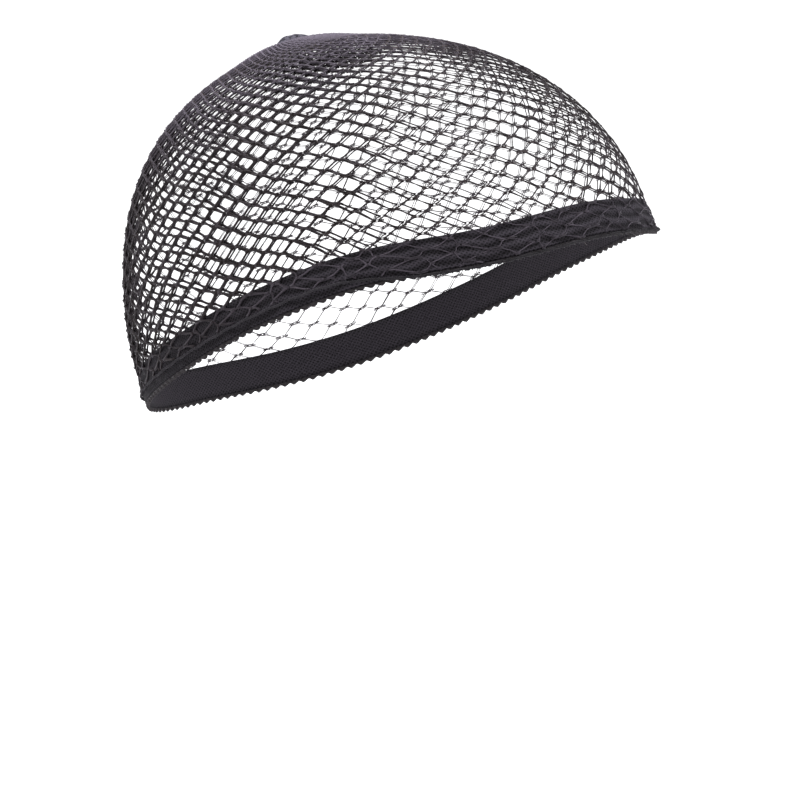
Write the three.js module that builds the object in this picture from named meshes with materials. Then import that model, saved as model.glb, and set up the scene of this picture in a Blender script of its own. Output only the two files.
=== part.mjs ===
// Double-layer wig net: a fishnet cap gathered at the crown, on a picot-edged elastic.
//
// Millimetres, +Z up. The brow faces -Y and the wearer's left is +X. The origin is the
// middle of the head at the cap's widest level, and it is where the head sits.
//
// Every piece is turned as a LatheGeometry whose radius is the run, the way down from
// the gather, and whose height is the lift, the way out from the head. The turned body
// is then draped: each of its vertices is moved to that run and lift on the head form.

import * as THREE from 'three';
import { mergeVertices } from 'three/addons/utils/BufferGeometryUtils.js';

// ---- Head form that the inner net and the elastic lie on
const HEAD_HALF_WIDTH = 75.2;
const HEAD_FRONT_DEPTH = 95.6;
const HEAD_BACK_DEPTH = 89.5;
const CROWN_HEIGHT = 81;
const BROW_DROP = 157.7; // depth at which the form would close below the brow
const NAPE_DROP = 88; // the same below the nape, where the head draws in
const DROP_BLEND = 0.45; // how far round the side one drop eases into the other
const FULLNESS = 2.2; // 2 is an ellipsoid, and more is squarer

// ---- Lower edge of the cap, round one side from the brow to the nape
const RIM_LINE = [
  { azimuth: 0, height: 25.8 },
  { azimuth: 25, height: 21.2 },
  { azimuth: 50, height: 13.8 },
  { azimuth: 75, height: -1 },
  { azimuth: 100, height: -18.6 },
  { azimuth: 130, height: -38 },
  { azimuth: 180, height: -50 },
];

// ---- Hem of the outer net, as its height above the lower edge of the elastic
const HEM_LINE = [
  { turn: 0, above: 0.2 },
  { turn: 0.04, above: 0.9 },
  { turn: 0.1, above: 0.9 },
  { turn: 0.14, above: 0.2 },
  { turn: 0.24, above: 4.2 },
  { turn: 0.82, above: 4.2 },
  { turn: 0.89, above: 0.2 },
  { turn: 1, above: 0.2 },
];

// ---- Gather, on the centre line behind the top of the head
const GATHER_BEHIND = 41;
const GATHER_RADIUS = 5;
const GATHER_HEIGHT = 2;
const GATHER_EDGE = 0.8; // how far its edge is rounded
const GATHER_RISE = [
  { run: 0, rise: 1.1 },
  { run: 8, rise: 1.1 },
  { run: 26, rise: 0 },
]; // how far the bunched outer net stands up round the gather

// ---- Layers, from the head outwards
const NET_THICKNESS = 1;
const BAND_THICKNESS = 1.2;
const PICOT_THICKNESS = 0.9;
const HEM_THICKNESS = 1.1;
const GAP = 0.3; // clearance between neighbouring pieces

// ---- Widths along the run
const BAND_WIDTH = 11.2;
const PICOT_WIDTH = 1;
const HEM_WIDTH = 0.9;
const BAND_RAMP = 4; // run over which the outer net climbs onto the elastic
const RIM_FLARE = 1.4; // how far the lower edge stands off the head

// ---- Run: its length stands for every meridian, and both ends keep true distances
const RUN = 150;
const TRUE_AT_GATHER = 10;
const TRUE_AT_RIM = 20;

// ---- Fineness
const TURN_SEGMENTS = 64;
const DOME_STEPS = 12;
const ARC_SAMPLES = 90;

// ---- Lifts of the layers' lower faces
const OUTER_NET_LIFT = NET_THICKNESS + GAP;
const NET_ON_BAND_LIFT = BAND_THICKNESS + GAP;
const GATHER_LIFT = OUTER_NET_LIFT + GATHER_RISE[0].rise + NET_THICKNESS + GAP;

// ---- Runs of the levels near the rim
const BAND_LOW = RUN - PICOT_WIDTH - GAP;
const BAND_TOP = BAND_LOW - BAND_WIDTH;

// Value at a key of a table whose rows rise in that key. Past its end the last value holds.
function fromTable(rows, key, at, value) {
  if (at >= rows.at(-1)[key]) return rows.at(-1)[value];
  const after = Math.max(1, rows.findIndex((row) => row[key] >= at));
  const [low, high] = [rows[after - 1], rows[after]];
  const share = (at - low[key]) / (high[key] - low[key]);
  return THREE.MathUtils.lerp(low[value], high[value], THREE.MathUtils.smoothstep(share, 0, 1));
}

function dropAt(direction) {
  const across = Math.hypot(direction.x, direction.y) || 1;
  const backward = direction.y / across;
  const blend = THREE.MathUtils.smoothstep(backward, -DROP_BLEND, DROP_BLEND);
  return THREE.MathUtils.lerp(BROW_DROP, NAPE_DROP, blend);
}

// Sum that is 1 on the head form, less inside it and more outside.
function formSum(point) {
  const depth = point.y < 0 ? HEAD_FRONT_DEPTH : HEAD_BACK_DEPTH;
  const height = point.z > 0 ? CROWN_HEIGHT : dropAt(point);
  const ratios = [point.x / HEAD_HALF_WIDTH, point.y / depth, point.z / height];
  return ratios.reduce((sum, ratio) => sum + Math.abs(ratio) ** FULLNESS, 0);
}

function onForm(direction) {
  return direction.clone().multiplyScalar(formSum(direction) ** (-1 / FULLNESS));
}

function outwardNormal(point) {
  const step = 0.05;
  const slope = (axis) => {
    const ahead = point.clone();
    const behind = point.clone();
    ahead[axis] += step;
    behind[axis] -= step;
    return formSum(ahead) - formSum(behind);
  };
  return new THREE.Vector3(slope('x'), slope('y'), slope('z')).normalize();
}

// Point of the head form at a height, in the compass direction of an azimuth.
function formPointAt(azimuthDegrees, height) {
  const azimuth = THREE.MathUtils.degToRad(azimuthDegrees);
  const level = new THREE.Vector3(Math.sin(azimuth), -Math.cos(azimuth), 0);
  const drop = height > 0 ? CROWN_HEIGHT : dropAt(level);
  const left = 1 - Math.abs(height / drop) ** FULLNESS;
  const radius = (left / formSum(level)) ** (1 / FULLNESS);
  return level.multiplyScalar(radius).setZ(height);
}

// Closed curve of the lower edge. It starts at the brow and first goes to +X.
function rimCurve() {
  const left = RIM_LINE.map(({ azimuth, height }) => formPointAt(azimuth, height));
  const right = RIM_LINE.slice(1, -1)
    .reverse()
    .map(({ azimuth, height }) => formPointAt(-azimuth, height));
  return new THREE.CatmullRomCurve3([...left, ...right], true, 'centripetal');
}

function gatherDirection() {
  const level = Math.abs(GATHER_BEHIND / HEAD_BACK_DEPTH) ** FULLNESS;
  const height = CROWN_HEIGHT * (1 - level) ** (1 / FULLNESS);
  return new THREE.Vector3(0, GATHER_BEHIND, height).normalize();
}

// Point of a meridian at a share of the angle between the gather and the rim.
function sweep(from, to, share) {
  const angle = from.angleTo(to);
  const a = Math.sin((1 - share) * angle) / Math.sin(angle);
  const b = Math.sin(share * angle) / Math.sin(angle);
  return onForm(from.clone().multiplyScalar(a).addScaledVector(to, b));
}

function makeMeridian(gather, rimDirection) {
  const samples = [];
  let length = 0;
  let last = null;
  for (let i = 0; i <= ARC_SAMPLES; i += 1) {
    const point = sweep(gather, rimDirection, i / ARC_SAMPLES);
    length += last ? point.distanceTo(last) : 0;
    samples.push({ length, point });
    last = point;
  }
  return samples;
}

function makeMeridians() {
  const gather = gatherDirection();
  const rim = rimCurve().getSpacedPoints(TURN_SEGMENTS).slice(0, TURN_SEGMENTS);
  return rim.map((point) => makeMeridian(gather, point.normalize()));
}

const MERIDIANS = makeMeridians();

// Point of the cap on a meridian, at a run and a lift.
function capPoint(meridian, run, lift) {
  const whole = meridian[ARC_SAMPLES].length;
  const slack = THREE.MathUtils.smoothstep(run, TRUE_AT_GATHER, RUN - TRUE_AT_RIM);
  const length = Math.min(run + (whole - RUN) * slack, whole);
  const found = meridian.findIndex((sample) => sample.length >= length - 1e-9);
  const after = Math.max(1, found);
  const [low, high] = [meridian[after - 1], meridian[after]];
  const share = (length - low.length) / (high.length - low.length);
  const base = onForm(low.point.clone().lerp(high.point, share).normalize());
  const flare = RIM_FLARE * THREE.MathUtils.smoothstep(run, BAND_TOP, RUN);
  return base.addScaledVector(outwardNormal(base), lift + flare);
}

// Run of the outer net, whose last stretch is shortened to end at the hem line.
function runToHem(run, turn) {
  const past = Math.max(0, run - BAND_TOP) / BAND_WIDTH;
  const hem = RUN - fromTable(HEM_LINE, 'turn', turn, 'above') - HEM_WIDTH - GAP;
  return run + past * (hem - BAND_LOW);
}

// The hem keeps its width and follows the hem line.
function runOnHem(run, turn) {
  return runToHem(BAND_LOW, turn) + run - BAND_LOW;
}

function withoutSlivers(geometry) {
  const corners = geometry.index.array;
  const kept = [];
  for (let i = 0; i < corners.length; i += 3) {
    const [a, b, c] = corners.subarray(i, i + 3);
    if (a !== b && b !== c && c !== a) kept.push(a, b, c);
  }
  geometry.setIndex(kept);
  return geometry;
}

// Turns a section of [run, lift] rows and drapes the turned body over the head form.
function draped(section, runAt = (run) => run) {
  const profile = section.map(([run, lift]) => new THREE.Vector2(run, lift));
  const turned = new THREE.LatheGeometry(profile, TURN_SEGMENTS);
  const places = turned.attributes.position;
  for (let i = 0; i < places.count; i += 1) {
    const x = places.getX(i);
    const z = places.getZ(i);
    const segment = Math.round((Math.atan2(x, z) / (2 * Math.PI)) * TURN_SEGMENTS);
    const index = (segment + TURN_SEGMENTS) % TURN_SEGMENTS;
    const run = runAt(Math.hypot(x, z), index / TURN_SEGMENTS);
    const point = capPoint(MERIDIANS[index], run, places.getY(i));
    places.setXYZ(i, point.x, point.y, point.z);
  }
  turned.deleteAttribute('normal');
  turned.deleteAttribute('uv');
  return withoutSlivers(mergeVertices(turned, 1e-3));
}

// Runs from the gather down to where the outer net starts to climb onto the elastic.
function domeRuns() {
  const last = BAND_TOP - BAND_RAMP;
  return Array.from({ length: DOME_STEPS + 1 }, (_, i) => (last * i) / DOME_STEPS);
}

// Section of a layer from the axis round its edge to the axis. Rows are [run, lower lift].
function layerSection(rows, thickness) {
  const over = rows.map(([run, lift]) => [run, lift + thickness]);
  return [...rows, ...over.reverse()];
}

// Section of a loop with square edges between two runs.
function loopSection(top, low, lift, thickness) {
  return [
    [low, lift],
    [low, lift + thickness],
    [top, lift + thickness],
    [top, lift],
    [low, lift],
  ];
}

function innerNet() {
  const rows = [...domeRuns(), BAND_TOP - GAP].map((run) => [run, 0]);
  return draped(layerSection(rows, NET_THICKNESS));
}

function outerNet() {
  const rise = (run) => fromTable(GATHER_RISE, 'run', run, 'rise');
  const rows = domeRuns().map((run) => [run, OUTER_NET_LIFT + rise(run)]);
  rows.push([BAND_TOP, NET_ON_BAND_LIFT]);
  rows.push([(BAND_TOP + BAND_LOW) / 2, NET_ON_BAND_LIFT]);
  rows.push([BAND_LOW, NET_ON_BAND_LIFT]);
  return draped(layerSection(rows, NET_THICKNESS), runToHem);
}

function elasticBand() {
  return draped(loopSection(BAND_TOP, BAND_LOW, 0, BAND_THICKNESS));
}

function picotEdge() {
  const lift = (BAND_THICKNESS - PICOT_THICKNESS) / 2;
  return draped(loopSection(BAND_LOW + GAP, RUN, lift, PICOT_THICKNESS));
}

function hem() {
  const top = BAND_LOW + GAP;
  const low = top + HEM_WIDTH;
  return draped(loopSection(top, low, NET_ON_BAND_LIFT, HEM_THICKNESS), runOnHem);
}

function crownGather() {
  const top = GATHER_LIFT + GATHER_HEIGHT;
  return draped([
    [0, GATHER_LIFT],
    [GATHER_RADIUS - GATHER_EDGE, GATHER_LIFT],
    [GATHER_RADIUS, GATHER_LIFT + GATHER_EDGE],
    [GATHER_RADIUS, top - 1.5 * GATHER_EDGE],
    [GATHER_RADIUS - 1.5 * GATHER_EDGE, top - GATHER_EDGE / 4],
    [0, top],
  ]);
}

const cap = new THREE.Group();

function addPiece(name, geometry, look) {
  const mesh = new THREE.Mesh(geometry, new THREE.MeshStandardMaterial(look));
  mesh.name = name;
  cap.add(mesh);
}

addPiece('inner_net', innerNet(), { color: 0x2c2729, roughness: 0.72, metalness: 0 });
addPiece('outer_net', outerNet(), { color: 0x2f2a2e, roughness: 0.6, metalness: 0 });
addPiece('elastic_band', elasticBand(), { color: 0x241f21, roughness: 0.85, metalness: 0 });
addPiece('picot_edge', picotEdge(), { color: 0x1f1b1c, roughness: 0.85, metalness: 0 });
addPiece('hem', hem(), { color: 0x3a3438, roughness: 0.65, metalness: 0 });
addPiece('crown_gather', crownGather(), { color: 0x4b464e, roughness: 0.7, metalness: 0 });

export default cap;
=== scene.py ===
"""Wig net in worn form: two layers of fishnet gathered at the crown, on a picot-edged elastic.

The cap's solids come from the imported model. This script dresses them: each net layer is
laid strand by strand on the same draped surface as its solid, and the elastic, the picot
edge, the hem and the gather get their knitted, looped and stitched form.

Lengths on that surface are in millimetres until a mesh is made, which is in metres.
A place on it is a turn (0 at the brow, growing to the wearer's left), a run (the way down
from the gather, nominally 150) and a lift (the way out from the head).
"""

import bpy
import numpy as np
from bpy.props import FloatProperty, FloatVectorProperty, IntProperty, PointerProperty
from mathutils import Matrix, Vector


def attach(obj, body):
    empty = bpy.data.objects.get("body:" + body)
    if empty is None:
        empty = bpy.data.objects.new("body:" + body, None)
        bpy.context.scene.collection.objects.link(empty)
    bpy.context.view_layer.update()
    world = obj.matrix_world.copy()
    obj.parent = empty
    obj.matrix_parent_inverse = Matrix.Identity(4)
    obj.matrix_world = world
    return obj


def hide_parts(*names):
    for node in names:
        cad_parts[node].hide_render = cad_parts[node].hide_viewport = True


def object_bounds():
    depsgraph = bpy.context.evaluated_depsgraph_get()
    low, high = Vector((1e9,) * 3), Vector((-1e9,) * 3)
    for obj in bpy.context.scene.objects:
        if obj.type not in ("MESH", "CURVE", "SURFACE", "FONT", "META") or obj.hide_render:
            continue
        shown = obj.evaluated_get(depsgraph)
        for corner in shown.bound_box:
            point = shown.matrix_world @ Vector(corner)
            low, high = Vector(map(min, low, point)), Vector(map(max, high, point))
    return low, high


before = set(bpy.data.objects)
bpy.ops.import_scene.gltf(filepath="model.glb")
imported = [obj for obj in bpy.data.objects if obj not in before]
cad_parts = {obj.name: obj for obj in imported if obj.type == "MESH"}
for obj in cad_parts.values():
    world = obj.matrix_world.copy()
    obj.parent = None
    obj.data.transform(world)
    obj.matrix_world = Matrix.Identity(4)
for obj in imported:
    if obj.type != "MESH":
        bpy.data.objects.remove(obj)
CAD_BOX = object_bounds()

bl_info = {
    "name": "Wig net",
    "version": (1, 0, 0),
    "blender": (4, 5, 0),
    "location": "3D View > Sidebar > Wig net",
    "description": "Builds a double-layer fishnet wig cap strand by strand over its solids",
    "category": "Add Mesh",
}

MM = 0.001

# ---- Draped surface, the same as the solids' own
HALF_WIDTH = 75.2
FRONT_DEPTH = 95.6
BACK_DEPTH = 89.5
CROWN_HEIGHT = 81.0
BROW_DROP = 157.7
NAPE_DROP = 88.0
DROP_BLEND = 0.45
FULLNESS = 2.2
RIM_AZIMUTHS = (0, 25, 50, 75, 100, 130, 180)
RIM_HEIGHTS = (25.8, 21.2, 13.8, -1, -18.6, -38, -50)
HEM_TURNS = (0, 0.04, 0.1, 0.14, 0.24, 0.82, 0.89, 1)
HEM_ABOVE = (0.2, 0.9, 0.9, 0.2, 4.2, 4.2, 0.2, 0.2)
GATHER_BEHIND = 41.0
GATHER_RISE_RUNS = (0, 8, 26)
GATHER_RISES = (1.1, 1.1, 0)
RIM_FLARE = 1.4
RUN = 150.0
TRUE_AT_GATHER = 10.0
TRUE_AT_RIM = 20.0
BAND_LOW = 148.7
BAND_TOP = 137.5
HEM_WIDTH = 0.9
GAP = 0.3
RIM_LENGTH = 546.0
PAST_RIM = 1.05

# ---- Fineness of the surface's tables
TURN_STEPS = 720
SHARE_STEPS = 240
RIM_SAMPLES = 400
HALVINGS = 26
SLOPE_STEP = 0.05


# ---- Draped surface


def smooth(value, low=0.0, high=1.0):
    """0 up to low, 1 from high on, and eased between them."""
    share = np.clip((value - low) / (high - low), 0, 1)
    return share * share * (3 - 2 * share)


def from_table(at, keys, values):
    """Smooth steps between a table's values."""
    keys, values = np.asarray(keys, float), np.asarray(values, float)
    at = np.clip(at, keys[0], keys[-1])
    after = np.clip(np.searchsorted(keys, at), 1, len(keys) - 1)
    share = smooth((at - keys[after - 1]) / (keys[after] - keys[after - 1]))
    return values[after - 1] + (values[after] - values[after - 1]) * share


def unit(vectors):
    """Vectors of length 1 in the same directions."""
    return vectors / np.maximum(np.linalg.norm(vectors, axis=-1, keepdims=True), 1e-12)


def drop_at(points):
    """Depth of the head form below its widest level: more at the brow than at the nape."""
    across = np.maximum(np.hypot(points[..., 0], points[..., 1]), 1e-12)
    blend = smooth(points[..., 1] / across, -DROP_BLEND, DROP_BLEND)
    return BROW_DROP + (NAPE_DROP - BROW_DROP) * blend


def form_sum(points):
    """1 on the head form, less inside it and more outside."""
    depth = np.where(points[..., 1] < 0, FRONT_DEPTH, BACK_DEPTH)
    height = np.where(points[..., 2] > 0, CROWN_HEIGHT, drop_at(points))
    ratios = points / np.stack([np.full_like(depth, HALF_WIDTH), depth, height], -1)
    return (np.abs(ratios) ** FULLNESS).sum(-1)


def on_form(directions):
    """Places where directions from the middle of the head meet the form."""
    return directions * form_sum(directions)[..., None] ** (-1 / FULLNESS)


def outward(points):
    """Normals of the form, away from the head."""
    slopes = []
    for step in SLOPE_STEP * np.eye(3):
        slopes.append(form_sum(points + step) - form_sum(points - step))
    return unit(np.stack(slopes, -1))


def form_point(azimuth, height):
    """Place on the form at an azimuth in degrees from the brow, and a height."""
    angle = np.radians(azimuth)
    level = np.array([np.sin(angle), -np.cos(angle), 0.0])
    drop = CROWN_HEIGHT if height > 0 else drop_at(level)
    left = 1 - abs(height / drop) ** FULLNESS
    radius = (left / form_sum(level)) ** (1 / FULLNESS)
    return level * radius + np.array([0, 0, height])


def rim_directions():
    """Directions of the lower edge at even steps of its length, from the brow to +X."""
    rows = list(zip(RIM_AZIMUTHS, RIM_HEIGHTS))
    knots = [form_point(a, h) for a, h in rows]
    knots += [form_point(-a, h) for a, h in rows[-2:0:-1]]
    knots = np.array(knots)
    count = len(knots)
    points = []
    for i in range(count):
        p = [knots[(i + k) % count] for k in (-1, 0, 1, 2)]
        gaps = [max(np.linalg.norm(p[k + 1] - p[k]) ** 0.5, 1e-6) for k in range(3)]
        starts = (p[1] - p[0]) / gaps[0] - (p[2] - p[0]) / (gaps[0] + gaps[1])
        ends = (p[2] - p[1]) / gaps[1] - (p[3] - p[1]) / (gaps[1] + gaps[2])
        first = (starts + (p[2] - p[1]) / gaps[1]) * gaps[1]
        last = (ends + (p[3] - p[2]) / gaps[2]) * gaps[1]
        t = (np.arange(RIM_SAMPLES) / RIM_SAMPLES)[:, None]
        curve = p[1] + first * t
        curve = curve + (-3 * p[1] + 3 * p[2] - 2 * first - last) * t**2
        curve = curve + (2 * p[1] - 2 * p[2] + first + last) * t**3
        points.append(curve)
    points = np.concatenate([*points, points[0][:1]])
    along = np.concatenate([[0], np.linalg.norm(np.diff(points, axis=0), axis=1).cumsum()])
    at = np.arange(TURN_STEPS) / TURN_STEPS * along[-1]
    return unit(np.stack([np.interp(at, along, points[:, k]) for k in range(3)], -1))


class DrapedSurface:
    """Tables of the head form's points and normals by turn and by share of the way down."""

    def __init__(self):
        level = abs(GATHER_BEHIND / BACK_DEPTH) ** FULLNESS
        height = CROWN_HEIGHT * (1 - level) ** (1 / FULLNESS)
        gather = unit(np.array([0.0, GATHER_BEHIND, height]))
        rim = rim_directions()
        self.azimuth = np.arctan2(rim[:, 0], -rim[:, 1])
        angle = np.arccos(rim @ gather)[:, None, None]
        shares = np.linspace(0, 1, SHARE_STEPS + 1)[None, :, None]

        def sweep(share):
            mix = np.sin((1 - share) * angle) * gather + np.sin(share * angle) * rim[:, None]
            return on_form(mix / np.sin(angle))

        steps = np.linalg.norm(np.diff(sweep(shares), axis=1), axis=2)
        lengths = np.concatenate([np.zeros((TURN_STEPS, 1)), steps.cumsum(1)], axis=1)
        self.whole = lengths[:, -1]
        even = np.empty((TURN_STEPS, SHARE_STEPS + 1, 1))
        for i in range(TURN_STEPS):
            wanted = np.linspace(0, self.whole[i], SHARE_STEPS + 1)
            even[i, :, 0] = np.interp(wanted, lengths[i], shares[0, :, 0])
        self.base = sweep(even)
        self.normal = outward(self.base)

    def round_table(self, table, turn):
        """Value of a table by turn alone."""
        at = np.mod(turn, 1) * TURN_STEPS
        low = np.floor(at).astype(int)
        part = at - low
        return table[low % TURN_STEPS] * (1 - part) + table[(low + 1) % TURN_STEPS] * part

    def whole_at(self, turn):
        """Length of the way down from the gather to the rim."""
        return self.round_table(self.whole, turn)

    def share_of(self, turn, run):
        """Share of the way down at a run."""
        whole = self.whole_at(turn)
        slack = smooth(run, TRUE_AT_GATHER, RUN - TRUE_AT_RIM)
        return (run + (whole - RUN) * slack) / whole

    def run_of(self, turn, share):
        """Run at a share of the way down."""
        whole = self.whole_at(turn)
        low, high = np.zeros_like(share + whole), np.full_like(share + whole, RUN + 10)
        for _ in range(HALVINGS):
            middle = (low + high) / 2
            slack = smooth(middle, TRUE_AT_GATHER, RUN - TRUE_AT_RIM)
            short = middle + (whole - RUN) * slack < share * whole
            low, high = np.where(short, middle, low), np.where(short, high, middle)
        return (low + high) / 2

    def place(self, turn, share, lift):
        """Points and normals at turns and shares of the way down, lifted off the head."""
        x = np.mod(turn, 1) * TURN_STEPS
        y = np.clip(share, 0, PAST_RIM) * SHARE_STEPS
        i = np.floor(x).astype(int)
        j = np.clip(np.floor(y).astype(int), 0, SHARE_STEPS - 1)
        a, b = (x - i)[..., None], (y - j)[..., None]
        i, k = i % TURN_STEPS, (i + 1) % TURN_STEPS
        found = []
        for table in (self.base, self.normal):
            upper = table[i, j] * (1 - a) + table[k, j] * a
            lower = table[i, j + 1] * (1 - a) + table[k, j + 1] * a
            found.append(upper * (1 - b) + lower * b)
        flare = RIM_FLARE * smooth(self.run_of(turn, share), BAND_TOP, RUN)
        normal = unit(found[1])
        return found[0] + normal * (lift + flare)[..., None], normal

    def place_run(self, turn, run, lift):
        """Points and normals at turns and runs, lifted off the head."""
        turn, run, lift = np.broadcast_arrays(turn, run, lift)
        return self.place(turn, self.share_of(turn, run), lift)


SURFACE = DrapedSurface()


def hem_run(turn):
    """Run of the outer net's lower edge."""
    return RUN - from_table(np.mod(turn, 1), HEM_TURNS, HEM_ABOVE) - HEM_WIDTH - GAP


# ---- Meshes


def add_mesh(name, parts, material, stands_for=()):
    """One piece from parts of (points in mm, faces, UVs in mm, tone), riding on the body."""
    points, corners, sizes, uvs, tones, start = [], [], [], [], [], 0
    for co, faces, uv, tone in parts:
        points.append(co)
        corners.append((faces + start).ravel())
        sizes.append(np.full(len(faces), faces.shape[1]))
        uvs.append(uv.reshape(-1, 2))
        tones.append(np.broadcast_to(tone, len(co)))
        start += len(co)
    points, corners = np.concatenate(points), np.concatenate(corners)
    sizes, uvs = np.concatenate(sizes), np.concatenate(uvs)
    mesh = bpy.data.meshes.new(name)
    mesh.vertices.add(len(points))
    mesh.vertices.foreach_set("co", (points * MM).astype(np.float32).ravel())
    mesh.loops.add(len(corners))
    mesh.loops.foreach_set("vertex_index", corners.astype(np.int32))
    mesh.polygons.add(len(sizes))
    starts = np.concatenate([[0], sizes.cumsum()[:-1]])
    mesh.polygons.foreach_set("loop_start", starts.astype(np.int32))
    layer = mesh.uv_layers.new(name="yarn")
    layer.data.foreach_set("uv", (uvs * MM).astype(np.float32).ravel())
    mesh.update(calc_edges=True)
    mesh.polygons.foreach_set("use_smooth", np.ones(len(sizes), bool))
    tone = mesh.attributes.new("tone", "FLOAT", "POINT")
    tone.data.foreach_set("value", np.concatenate(tones).astype(np.float32))
    mesh.materials.append(material)
    piece = bpy.data.objects.new(name, mesh)
    bpy.context.scene.collection.objects.link(piece)
    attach(piece, "root")
    if stands_for:
        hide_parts(*stands_for)
    return piece


def tubes(paths, normals, radii, sides, tone=0.5, closed=False, flat=1.0, spin=0.0):
    """Closed tubes along paths of shape (tubes, points, 3)."""
    count, length = paths.shape[:2]
    if closed:
        along = np.roll(paths, -1, 1) - np.roll(paths, 1, 1)
    else:
        along = np.gradient(paths, axis=1)
    along = unit(along)
    side = unit(np.cross(along, normals))
    out = np.cross(side, along)
    angles = np.arange(sides) / sides * 2 * np.pi
    radii = np.broadcast_to(radii, (count, length))[..., None, None]
    turned = np.broadcast_to(spin, (count, length))[..., None] + angles
    across = np.cos(turned)[..., None] * side[:, :, None]
    above = flat * np.sin(turned)[..., None] * out[:, :, None]
    points = (paths[:, :, None] + radii * (across + above)).reshape(-1, 3)
    steps = length if closed else length - 1
    tube, step, corner = np.meshgrid(
        np.arange(count), np.arange(steps), np.arange(sides), indexing="ij"
    )
    following, beside = (step + 1) % length, (corner + 1) % sides
    first = tube * length * sides
    here, there = first + step * sides, first + following * sides
    quads = np.stack([here + corner, here + beside, there + beside, there + corner], -1)
    quads = quads.reshape(-1, 4)
    gaps = np.linalg.norm(np.diff(paths, axis=1), axis=2)
    way = np.concatenate([np.zeros((count, 1)), gaps.cumsum(1)], axis=1)
    if closed:
        last = np.linalg.norm(paths[:, 0] - paths[:, -1], axis=1)
        way = np.concatenate([way, way[:, -1:] + last[:, None]], axis=1)
    around = np.arange(sides + 1) / sides
    u = np.stack([way[tube, step]] * 2 + [way[tube, step + 1]] * 2, -1)
    low, high = around[corner], around[corner + 1]
    v = np.stack([low, high, high, low], -1)
    tones = np.repeat(np.broadcast_to(tone, (count, length)).reshape(-1), sides)
    parts = [(points, quads, np.stack([u, v], -1), tones)]
    if not closed:
        ring = np.arange(sides)
        starts = np.arange(count)[:, None] * length * sides
        ends = np.concatenate([starts + ring[::-1], starts + (length - 1) * sides + ring])
        # The end faces add no points: their corners count back to the tubes' own.
        parts.append((np.zeros((0, 3)), ends - len(points), np.zeros((*ends.shape, 2)), 0.0))
    return parts


def sheet_part(points, uv, tone, tubular=False):
    """Faces over a grid of (turns, rows, 3), joined round the turns, and if tubular the rows."""
    turns, rows = points.shape[:2]
    i, j = np.meshgrid(np.arange(turns), np.arange(rows if tubular else rows - 1), indexing="ij")
    k, below = (i + 1) % turns, (j + 1) % rows
    quads = np.stack([i * rows + j, i * rows + below, k * rows + below, k * rows + j], -1)
    u = np.stack([uv[0][i], uv[0][i], uv[0][i + 1], uv[0][i + 1]], -1)
    v = np.stack([uv[1][j], uv[1][j + 1], uv[1][j + 1], uv[1][j]], -1)
    return points.reshape(-1, 3), quads.reshape(-1, 4), np.stack([u, v], -1), tone


# ---- Net


OVER_ELASTIC = 0.85  # height left to a row where the net is sewn over the elastic
ROW_PARTS = 15
STAGGER = 8 / ROW_PARTS  # rows between a cell and its neighbour one column on
OPEN_SIDE = 0.44  # length of a cell's open side in columns
OVERHANG = 0.3  # share of the open side by which its threads run past the knots
WIDEST_SHARE = 0.7  # share of the way down below which the cells get no taller
ROUNDING = 0.36  # share of the open side that a strand takes in its bend
KNOT_STRAY = 0.06  # widest stray of a knot, in columns or rows
LEAN = 0.02  # columns that the mesh drifts back in each row
CROWDING = 0.25  # how far rows crowd together by the gather, at the brow and nape
SIDE_CROWDING = 0.33  # and how much more over the ears
DRAWN_UP = 1.4  # pull on the lowest rows
SEWN_STRAY = 0.3  # sideways stray of the net, in columns, where it is sewn down
TRIAL_STEPS = 12  # steps at which a strand is tried against the net's edges


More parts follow.
